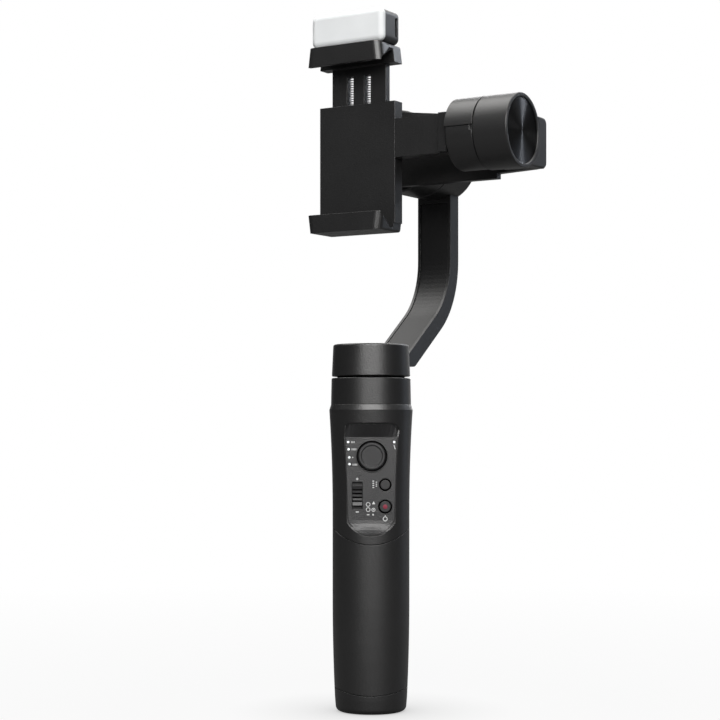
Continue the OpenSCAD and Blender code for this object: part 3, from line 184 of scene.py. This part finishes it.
soft_box("box_front", (0.03, -1.35, 0.88), (0, 0, 0.17), 1.7, 1.0, 33, (1, 0.99, 0.98))
soft_box("box_above", (0, 0.3, 1.35), (0, 0, 0.25), 3.0, 0.9, 26, (1, 0.99, 0.97))
soft_box("strip_right", (1.08, 0.8, 0.82), (0.06, -0.04, 0.25), 0.05, 0.3, 2.5, (0.86, 0.91, 1))
soft_box("box_right", (1.19, 0.6, 0.1), (0.03, 0, 0.2), 0.3, 0.6, 0.4, (0.78, 0.86, 1))
soft_box("box_behind", (0.35, 1.4, 0.75), (0, 0, 0.15), 1.0, 0.8, 9, (1, 1, 1))


# Moulded shells of the handle and its foot
# Foot, upper housing and the tube inside are injection moulded nylon with glass fibre, satin
# black, with the fine even grain of a spark-eroded mould. They clip and screw together.
def finish_nodes(names, material):
    for name in names.split():
        nodes[name].data.materials.clear()
        nodes[name].data.materials.append(material)


def tinted_noise(tree, vector, scale, colour, spread, rough, rough_spread):
    shader = tree.nodes["Principled BSDF"]
    patches = tree.nodes.new("ShaderNodeTexNoise")
    patches.inputs["Scale"].default_value = scale
    patches.inputs["Detail"].default_value = 3
    link(tree, vector, patches.inputs["Vector"])
    tint = tree.nodes.new("ShaderNodeMix")
    tint.data_type = "RGBA"
    tint.inputs["A"].default_value = (*[c * (1 - spread) for c in colour], 1)
    tint.inputs["B"].default_value = (*[c * (1 + spread) for c in colour], 1)
    link(tree, patches.outputs["Fac"], tint.inputs["Factor"])
    link(tree, tint.outputs["Result"], shader.inputs["Base Color"])
    dulling = ramp_node(tree, patches.outputs["Fac"], 0, 1, rough - rough_spread, rough + rough_spread)
    link(tree, dulling, shader.inputs["Roughness"])


tint_spread = 0.08
shell_clouds = 60
shell_dulling = 0.03
grain_strength = 0.35


def moulded(name, colour, rough, grain, depth, shine, edge=0.00035):
    material = bpy.data.materials.new(name)
    material.use_nodes = True
    tree = material.node_tree
    shader = tree.nodes["Principled BSDF"]
    shader.inputs["Specular IOR Level"].default_value = shine
    place = tree.nodes.new("ShaderNodeTexCoord")
    tinted_noise(tree, place.outputs["Object"], shell_clouds, colour, tint_spread, rough, shell_dulling)
    grains = tree.nodes.new("ShaderNodeTexNoise")
    grains.inputs["Scale"].default_value = grain
    grains.inputs["Detail"].default_value = 2
    link(tree, place.outputs["Object"], grains.inputs["Vector"])
    rounding = tree.nodes.new("ShaderNodeBevel")
    rounding.samples = 4
    rounding.inputs["Radius"].default_value = edge
    bump = tree.nodes.new("ShaderNodeBump")
    bump.inputs["Strength"].default_value = grain_strength
    bump.inputs["Distance"].default_value = depth
    link(tree, grains.outputs["Fac"], bump.inputs["Height"])
    link(tree, rounding.outputs["Normal"], bump.inputs["Normal"])
    link(tree, bump.outputs["Normal"], shader.inputs["Normal"])
    return material


shell = moulded("moulded_shell", (0.0075, 0.0075, 0.0078), 0.38, 1700, 0.00016, 0.95)
finish_nodes("base_cap upper_housing", shell)
inner = moulded("moulded_inner", (0.012, 0.012, 0.013), 0.7, 1500, 0.0001, 0.2)
finish_nodes("handle_tube battery_holder joystick_base button_switches", inner)

# Grip
# The sleeve is a soft-touch rubbery skin moulded on over plastic, duller than the housing,
# with a very fine grain.
grip = moulded("grip_skin", (0.0075, 0.0075, 0.0078), 0.4, 1500, 0.00012, 0.95)
finish_nodes("grip_sleeve", grip)


# Tripod thread
# A brass insert pressed into the foot carries the quarter inch thread that a tripod or an
# extension pole screws into. The thread's ridge is cut by a tap.
smooth_angle = math.radians(35)
merge_gap = 0.000001


def dress(piece, name, body, material):
    piece.name = name
    piece.data.name = name
    piece.data.materials.clear()
    piece.data.materials.append(material)
    bpy.ops.object.shade_smooth_by_angle(angle=smooth_angle)
    if body:
        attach(piece, body)
    bpy.ops.object.select_all(action="DESELECT")


def settle(piece, place=None):
    if place is not None:
        piece.matrix_world = place @ piece.matrix_world
    bpy.ops.object.transform_apply(location=True, rotation=True, scale=True)


def apply_modifiers(piece):
    for modifier in list(piece.modifiers):
        bpy.ops.object.modifier_apply(modifier=modifier.name)


def close_mesh(inside=False):
    bpy.ops.object.mode_set(mode="EDIT")
    bpy.ops.mesh.select_all(action="SELECT")
    bpy.ops.mesh.remove_doubles(threshold=merge_gap)
    bpy.ops.mesh.fill_holes(sides=0)
    bpy.ops.mesh.select_all(action="SELECT")
    bpy.ops.mesh.normals_make_consistent(inside=inside)
    bpy.ops.mesh.select_all(action="DESELECT")
    bpy.ops.object.mode_set(mode="OBJECT")


def wound(radius, wire, pitch, turns, corners, steps):
    bpy.ops.mesh.primitive_circle_add(vertices=corners, radius=wire, location=(radius, 0, 0),
                                      rotation=(math.pi / 2, 0, 0), fill_type="NOTHING")
    piece = bpy.context.object
    settle(piece)
    bpy.context.scene.cursor.location = (0, 0, 0)
    bpy.ops.object.origin_set(type="ORIGIN_CURSOR")
    bpy.ops.object.modifier_add(type="SCREW")
    screw = piece.modifiers[0]
    screw.screw_offset = pitch
    screw.iterations = turns
    screw.steps = steps
    screw.render_steps = steps
    apply_modifiers(piece)
    close_mesh()
    return piece


turned_dulling = 0.05


def turned(name, colour, rough, scale, metal, shine=0.5):
    material = bpy.data.materials.new(name)
    material.use_nodes = True
    tree = material.node_tree
    shader = tree.nodes["Principled BSDF"]
    shader.inputs["Metallic"].default_value = metal
    shader.inputs["Specular IOR Level"].default_value = shine
    place = tree.nodes.new("ShaderNodeTexCoord")
    tinted_noise(tree, place.outputs["Object"], scale, colour, tint_spread, rough, turned_dulling)
    return material


brass = turned("turned_brass", (0.7, 0.52, 0.25), 0.3, 500, 1)
finish_nodes("tripod_insert", brass)
thread_r = 0.003175
thread_pitch = 0.00127
thread_turns = 6
ridge_r = 0.00036
thread = wound(thread_r - ridge_r / 2, ridge_r, thread_pitch, thread_turns, 6, 32)
settle(thread, Matrix.Translation((0, 0, ridge_r)))
dress(thread, "tripod_thread", "handle", brass)

# Battery, boards and port
# A wrapped lithium cell in its holder, green boards with their parts, and the steel shell of
# the charging port in the back.
finish_nodes("battery_cell", turned("cell_wrap", (0.05, 0.16, 0.4), 0.35, 100, 0))
finish_nodes("main_board charge_board light_board", turned("board_mask", (0.03, 0.16, 0.08), 0.35, 900, 0))
steel = turned("ground_steel", (0.56, 0.56, 0.58), 0.28, 400, 1)
finish_nodes("usb_port joystick_yoke", steel)

# Control panel
# A separate moulded insert with the same fine grain, a shade lighter than the housing, glued
# into its scoop.
panel = moulded("panel_insert", (0.014, 0.014, 0.015), 0.4, 1700, 0.00035, 0.8, 0.0002)
finish_nodes("control_panel", panel)

# Joystick, zoom slider and buttons
# Black moulded caps: the slider is ribbed for the thumb and the joystick is dished. The
# buttons have stop flanges, so they go into their holes from behind.
caps = moulded("control_caps", (0.012, 0.012, 0.013), 0.42, 2400, 0.00003, 0.7)
finish_nodes("joystick_cap zoom_slider mode_button record_button light_button", caps)

# The record button carries a dot of dark red paint.
def front_middle(name, depth):
    low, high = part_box(name)
    return ((low[0] + high[0]) / 2, low[1] + depth, (low[2] + high[2]) / 2)


facing_front = (math.pi / 2, 0, 0)
dot_r = 0.001
dot_t = 0.00008
bpy.ops.mesh.primitive_circle_add(vertices=32, radius=dot_r, fill_type="NGON",
                                  rotation=facing_front, location=front_middle("record_button", 0))
dot = bpy.context.object
settle(dot)
bpy.ops.object.mode_set(mode="EDIT")
bpy.ops.mesh.select_all(action="SELECT")
bpy.ops.mesh.inset(thickness=dot_r / 3, depth=dot_t / 2)
bpy.ops.mesh.select_all(action="DESELECT")
bpy.ops.object.mode_set(mode="OBJECT")
bpy.ops.object.modifier_add(type="SOLIDIFY")
dot.modifiers[0].thickness = dot_t
dot.modifiers[0].offset = 0
apply_modifiers(dot)
dot_paint = turned("dot_paint", (0.22, 0.012, 0.035), 0.45, 900, 0)
dress(dot, "record_dot", "record_key", dot_paint)


# Dull black rings in the groove round each button and at the edge of the joystick's well are painted
# shade: they stand for the shadow in these gaps.
def painted_shade_ring(name, body, back, inner_r, outer_r, thick):
    place = (back[0], back[1] - thick / 2, back[2])
    bpy.ops.mesh.primitive_circle_add(vertices=64, radius=outer_r, fill_type="NGON",
                                      rotation=facing_front, location=place)
    ring = bpy.context.object
    settle(ring)
    bpy.ops.object.mode_set(mode="EDIT")
    bpy.ops.mesh.select_all(action="SELECT")
    bpy.ops.mesh.inset(thickness=outer_r - inner_r, depth=0)
    bpy.ops.mesh.delete(type="FACE")
    bpy.ops.object.mode_set(mode="OBJECT")
    bpy.ops.object.modifier_add(type="SOLIDIFY")
    ring.modifiers[0].thickness = thick
    ring.modifiers[0].offset = 0
    bpy.ops.object.modifier_add(type="BEVEL")
    ring.modifiers[1].width = thick / 5
    ring.modifiers[1].segments = 2
    apply_modifiers(ring)
    dress(ring, name, body, painted_shade_black)


# Near black, very dull and hardly reflecting: painted shade, for the rings in the gaps round the controls
# and the strips in the slider's grooves.
painted_shade_black = moulded("painted_shade_black", (0.003, 0.003, 0.003), 0.9, 1500, 0.00005, 0.05, 0.0001)
groove_w = 0.00065
groove_depth = 0.001
groove_fit = 0.00003
shade_ring_t = 0.0003
for name, body, button_r in (("mode", "mode_key", 0.0021), ("record", "record_key", 0.0024)):
    painted_shade_ring(name + "_shade_ring", body, front_middle(name + "_button", groove_depth),
              button_r + groove_fit, button_r + groove_w, shade_ring_t)
well_depth = 0.00001
well_r = 0.0062
well_shade_ring_t = 0.00012
painted_shade_ring("joystick_shade_ring", "handle", front_middle("joystick_cap", well_depth),
          well_r, well_r + groove_w, well_shade_ring_t)

# Black strips lie in the four grooves of the slider: painted shade, darkening the grooves as their shadow
# would.
strip_w = 0.0043
strip_h = 0.00064
strip_t = 0.0003
strip_pitch = 0.00165
strip_count = 4
rib_h = 0.0015
slider_mid = front_middle("zoom_slider", rib_h)
strip_mid = (*slider_mid[:2], slider_mid[2] - (strip_count - 1) / 2 * strip_pitch)
bpy.ops.mesh.primitive_plane_add(size=strip_h, location=strip_mid, rotation=facing_front)
strips = bpy.context.object
settle(strips)
bpy.ops.object.mode_set(mode="EDIT")
bpy.ops.mesh.select_all(action="SELECT")
bpy.ops.transform.resize(value=(strip_w / strip_h, 1, 1), center_override=strip_mid)
bpy.ops.mesh.extrude_region_move(TRANSFORM_OT_translate={"value": (0, -strip_t, 0)})
bpy.ops.mesh.select_all(action="DESELECT")
bpy.ops.object.mode_set(mode="OBJECT")
close_mesh()
bpy.ops.object.modifier_add(type="BEVEL")
strips.modifiers[0].width = strip_t / 5
strips.modifiers[0].segments = 2
bpy.ops.object.modifier_add(type="ARRAY")
row = strips.modifiers[1]
row.count = strip_count
row.use_relative_offset = False
row.use_constant_offset = True
row.constant_offset_displace = (0, 0, strip_pitch)
apply_modifiers(strips)
# The strips carry the painted shade finish.
dress(strips, "slider_groove_shade", "zoom_slide", painted_shade_black)

# Indicator lights and the printed marks
# Light pipes shine through five small holes. Beside them and the controls are small generic
# marks in white ink: strokes, a bolt, plus and minus, rings, dashes and a power sign.
lens = turned("lamp_lens", (0.85, 0.87, 0.88), 0.3, 500, 0)
lens_glow = 0.5
shader = lens.node_tree.nodes["Principled BSDF"]
shader.inputs["Emission Color"].default_value = (0.95, 0.98, 1, 1)
shader.inputs["Emission Strength"].default_value = lens_glow
finish_nodes("indicator_lights", lens)
ink = turned("white_ink", (0.6, 0.61, 0.61), 0.5, 1500, 0)
ink_t = 0.00005
ink_gap = 0.00003
print_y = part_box("control_panel")[0][1] - 0.004


# The places and sizes of the marks are written in millimetres.
def ink_bar(x, z, width, height, lean=0):
    middle = (x / 1000, print_y, z / 1000)
    bpy.ops.mesh.primitive_plane_add(size=width / 1000, location=middle, rotation=facing_front)
    bpy.ops.transform.resize(value=(1, 1, height / width), center_override=middle)
    bpy.ops.transform.rotate(value=lean, orient_axis="Y", center_override=middle)


def ink_ring(x, z, radius, stroke):
    bpy.ops.mesh.primitive_circle_add(vertices=24, radius=radius / 1000, rotation=facing_front,
                                      location=(x / 1000, print_y, z / 1000), fill_type="NGON")
    bpy.ops.mesh.inset(thickness=stroke / 1000, depth=0)
    bpy.ops.mesh.delete(type="FACE")


def ink_dot(x, z, radius, corners):
    bpy.ops.mesh.primitive_circle_add(vertices=corners, radius=radius / 1000, rotation=facing_front,
                                      location=(x / 1000, print_y, z / 1000), fill_type="NGON")


bpy.ops.mesh.primitive_plane_add(size=0.00045, location=(-0.0082, print_y, 0.11385),
                                 rotation=facing_front)
marks = bpy.context.object
bpy.ops.object.mode_set(mode="EDIT")
stroke_w = 0.3
stroke_h = 0.85
for count, left, height in ((3, -8.7, 120.65), (4, -8.5, 117.45), (4, -8.1, 110.7)):
    for i in range(count):
        ink_bar(left + 0.58 * i, height, stroke_w, stroke_h)
for x, z in ((10.2, 118.9), (10.45, 118.0)):
    ink_bar(x, z, 0.36, 1.0, 0.4)
ink_bar(-6.2, 104.35, 0.36, 1.1)
ink_bar(-6.2, 104.35, 1.1, 0.36)
ink_bar(-6.2, 89.75, 1.3, 0.5)
for i in range(4):
    ink_bar(0.95, 103.4 - 0.95 * i, 0.75, 0.42)
for i in range(3):
    ink_bar(2.3, 102.9 - 0.85 * i, 0.55, 0.4)
for z in (93.1, 90.8):
    ink_ring(-1.35, z, 1.0, 0.28)
ink_dot(1.1, 93.6, 0.85, 3)
ink_ring(1.0, 90.7, 0.85, 0.26)
ink_dot(1.0, 90.7, 0.28, 8)
ink_bar(-1.35, 88.55, 1.2, 0.42)
ink_dot(0.85, 88.55, 0.4, 12)
ink_ring(6.2, 86.7, 1.05, 0.3)
ink_bar(6.2, 87.9, 0.34, 0.8)
bpy.ops.mesh.select_all(action="DESELECT")
bpy.ops.object.mode_set(mode="OBJECT")
settle(marks)
bpy.ops.object.modifier_add(type="SHRINKWRAP")
wrap = marks.modifiers[0]
wrap.target = nodes["control_panel"]
wrap.wrap_method = "PROJECT"
wrap.use_project_y = True
wrap.offset = ink_gap
apply_modifiers(marks)
bpy.ops.object.modifier_add(type="SOLIDIFY")
marks.modifiers[0].thickness = ink_t
marks.modifiers[0].offset = 0
apply_modifiers(marks)
dress(marks, "panel_marks", "handle", ink)

# Motors
# Each of the three motors is an outrunner: a fixed base with a laminated, copper wound
# stator, and a drum with magnets that turns round it on two ball bearings and a hollow shaft.
finish_nodes("pan_motor_base pan_rotor roll_motor_base roll_rotor", shell)
finish_nodes("tilt_motor_base tilt_rotor tilt_shell", shell)
finish_nodes("pan_bearings roll_bearings tilt_bearings pan_shaft roll_shaft tilt_shaft", steel)
laminations = turned("laminations", (0.36, 0.36, 0.38), 0.4, 2000, 1)
finish_nodes("pan_stator roll_stator tilt_stator", laminations)
plated = turned("plated_magnets", (0.66, 0.66, 0.68), 0.2, 300, 1)
finish_nodes("pan_magnets roll_magnets tilt_magnets", plated)
copper = turned("enamelled_copper", (0.66, 0.3, 0.12), 0.35, 3000, 1)
finish_nodes("pan_coils roll_coils tilt_coils", copper)

# A thin black collar is glued into the fixed half of each motor, bridges the gap and keeps
# dust and light out. The head, with the roll and tilt motors, stands turned by 32 degrees.
head_turn = math.radians(-32)
head_z = 0.2543
pan_gap_z = 0.1501
roll_gap_y = 0.0431
tilt_gap_x = 0.0599
head_place = Matrix.Translation((0, 0, head_z)) @ Matrix.Rotation(head_turn, 4, "Z")
collar_plastic = moulded("collar_plastic", (0.01, 0.01, 0.01), 0.7, 1500, 0.00005, 0.2)
collar_t = 0.0006
collar_lip = 0.00025
collar_foot = -0.0022
collar_step = 0.0006
pan_rim = Matrix.Translation((0, 0, pan_gap_z))
roll_rim = head_place @ Matrix.Translation((0, roll_gap_y, 0)) @ Matrix.Rotation(math.pi / 2, 4, "X")
tilt_rim = head_place @ Matrix.Translation((tilt_gap_x, 0, 0)) @ Matrix.Rotation(-math.pi / 2, 4, "Y")
for name, body, place, wall_r, lip_r in (("pan_collar", "handle", pan_rim, 0.01605, 0.01515),
                                         ("roll_collar", "pan_frame", roll_rim, 0.0173, 0.01715),
                                         ("tilt_collar", "roll_frame", tilt_rim, 0.0143, 0.01365)):
    bpy.ops.mesh.primitive_circle_add(vertices=96, radius=wall_r, location=(0, 0, collar_foot),
                                      fill_type="NOTHING")
    collar = bpy.context.object
    settle(collar)
    bpy.ops.object.mode_set(mode="EDIT")
    bpy.ops.mesh.select_all(action="SELECT")
    bpy.ops.mesh.extrude_region_move(TRANSFORM_OT_translate={"value": (0, 0, collar_step)})
    bpy.ops.mesh.extrude_region_move(TRANSFORM_OT_translate={"value": (0, 0, collar_step)})
    bpy.ops.transform.resize(value=(lip_r / wall_r, lip_r / wall_r, 1), center_override=(0, 0, 0))
    bpy.ops.mesh.extrude_region_move(
        TRANSFORM_OT_translate={"value": (0, 0, collar_lip - collar_foot - 2 * collar_step)})
    bpy.ops.mesh.select_all(action="SELECT")
    bpy.ops.mesh.normals_make_consistent(inside=False)
    bpy.ops.mesh.select_all(action="DESELECT")
    bpy.ops.object.mode_set(mode="OBJECT")
    bpy.ops.object.modifier_add(type="SOLIDIFY")
    collar.modifiers[0].thickness = collar_t
    bpy.ops.object.modifier_add(type="BEVEL")
    collar.modifiers[1].width = collar_t / 6
    collar.modifiers[1].segments = 2
    apply_modifiers(collar)
    settle(collar, place)
    dress(collar, name, body, collar_plastic)

# A small black plug closes the hollow shaft in the top of the pan motor, over its wires.
plug_r = 0.0042
plug_h = 0.0004
rotor_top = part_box("pan_rotor")[1][2]
bpy.ops.mesh.primitive_circle_add(vertices=64, radius=plug_r, fill_type="NGON", location=(0, 0, rotor_top))
plug = bpy.context.object
settle(plug)
bpy.ops.object.mode_set(mode="EDIT")
bpy.ops.mesh.select_all(action="SELECT")
bpy.ops.mesh.extrude_region_move(TRANSFORM_OT_translate={"value": (0, 0, plug_h)})
bpy.ops.mesh.inset(thickness=plug_r / 6, depth=0)
bpy.ops.mesh.inset(thickness=plug_r / 20, depth=-plug_h / 3)
bpy.ops.mesh.select_all(action="DESELECT")
bpy.ops.object.mode_set(mode="OBJECT")
bpy.ops.object.modifier_add(type="BEVEL")
plug.modifiers[0].width = plug_h / 4
plug.modifiers[0].segments = 2
apply_modifiers(plug)
close_mesh()
dress(plug, "pan_plug", "pan_frame", shell)

# Arms
# The pan arm and the roll arm are moulded shells that carry the wires. A long cover, a shade
# lighter and a little duller, is let into each and closes its channel.
finish_nodes("pan_arm roll_arm", shell)
covers = moulded("moulded_cover", (0.01, 0.01, 0.0105), 0.42, 1700, 0.00016, 0.6)
finish_nodes("pan_arm_cover roll_arm_cover", covers)

# End caps of the roll and tilt motors
# Aluminium discs stained dark, faced on a lathe: the fine circles of the tool draw every
# light into a streak across the disc.
disc_stain = (0.045, 0.045, 0.047)
disc_clouds = 900
disc_rough = 0.24
disc_dulling = 0.02
disc_streak = 0.97
tool_marks = 9000
tool_mark_depth = 0.00001
tool_mark_strength = 0.15


def faced_disc(name, centre, colour):
    material = bpy.data.materials.new(name)
    material.use_nodes = True
    tree = material.node_tree
    shader = tree.nodes["Principled BSDF"]
    shader.inputs["Metallic"].default_value = 1
    shader.inputs["Anisotropic"].default_value = disc_streak
    place = tree.nodes.new("ShaderNodeTexCoord")
    tinted_noise(tree, place.outputs["Object"], disc_clouds, colour, tint_spread,
                 disc_rough, disc_dulling)
    spoke = tree.nodes.new("ShaderNodeVectorMath")
    spoke.operation = "SUBTRACT"
    spoke.inputs[1].default_value = centre
    link(tree, place.outputs["Object"], spoke.inputs[0])
    link(tree, spoke.outputs[0], shader.inputs["Tangent"])
    radius = tree.nodes.new("ShaderNodeVectorMath")
    radius.operation = "LENGTH"
    link(tree, spoke.outputs[0], radius.inputs[0])
    rings = tree.nodes.new("ShaderNodeTexNoise")
    rings.noise_dimensions = "1D"
    rings.inputs["Scale"].default_value = tool_marks
    rings.inputs["Detail"].default_value = 2
    link(tree, radius.outputs["Value"], rings.inputs["W"])
    bump = tree.nodes.new("ShaderNodeBump")
    bump.inputs["Strength"].default_value = tool_mark_strength
    bump.inputs["Distance"].default_value = tool_mark_depth
    link(tree, rings.outputs["Fac"], bump.inputs["Height"])
    link(tree, bump.outputs["Normal"], shader.inputs["Normal"])
    return material


for name in ("roll_end_cap", "tilt_end_cap"):
    low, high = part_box(name)
    centre = [(a + b) / 2 for a, b in zip(low, high)]
    finish_nodes(name, faced_disc(name, centre, disc_stain))

# Clamp
# Bracket, body, cover and sliding jaw are moulded like the arms. The grooves and the stop are
# lined with soft black rubber, pressed in.
finish_nodes("clamp_bracket clamp_body clamp_cover upper_jaw", shell)
rubber = moulded("pad_rubber", (0.008, 0.008, 0.0085), 0.75, 1200, 0.0001, 0.3)
finish_nodes("stop_pad lower_jaw_pad upper_jaw_pad", rubber)
finish_nodes("guide_rods", steel)

# Clamp springs
# Two long tension springs of steel wire pull the sliding jaw down: each is close wound and
# stretches as the jaw rises.
spring_x = 0.0045
spring_r = 0.0015
spring_wire = 0.00025
spring_turns = 56
spring_low, spring_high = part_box("clamp_springs")
spring_l = spring_high[2] - spring_low[2]
spring_mid = Vector([(a + b) / 2 for a, b in zip(spring_low, spring_high)])
coil_r = spring_r - spring_wire
coil_pitch = (spring_l - 2 * spring_wire) / spring_turns
spring = wound(coil_r, spring_wire, coil_pitch, spring_turns, 8, 16)
springs = []
for side in (-1, 1):
    bpy.ops.object.select_all(action="DESELECT")
    spring.select_set(True)
    bpy.context.view_layer.objects.active = spring
    bpy.ops.object.duplicate()
    copy = bpy.context.object
    offset = Matrix.Rotation(head_turn, 4, "Z") @ Vector((side * spring_x, 0, 0))
    foot = (spring_mid.x + offset.x, spring_mid.y + offset.y, spring_low[2] + spring_wire)
    settle(copy, Matrix.Translation(foot))
    dress(copy, "spring_left" if side < 0 else "spring_right", None, steel)
    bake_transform(copy)
    springs.append(copy)
for piece in springs:
    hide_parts("clamp_springs")
bpy.data.objects.remove(spring)

# Fill light
# A black housing with a white diffuser, moulded in milky plastic with rounded edges, over a
# board of light-emitting diodes.
finish_nodes("light_housing", shell)
diffuser = moulded("milky_diffuser", (0.74, 0.76, 0.77), 0.4, 800, 0.00002, 0.4, 0.0006)
finish_nodes("light_diffuser", diffuser)
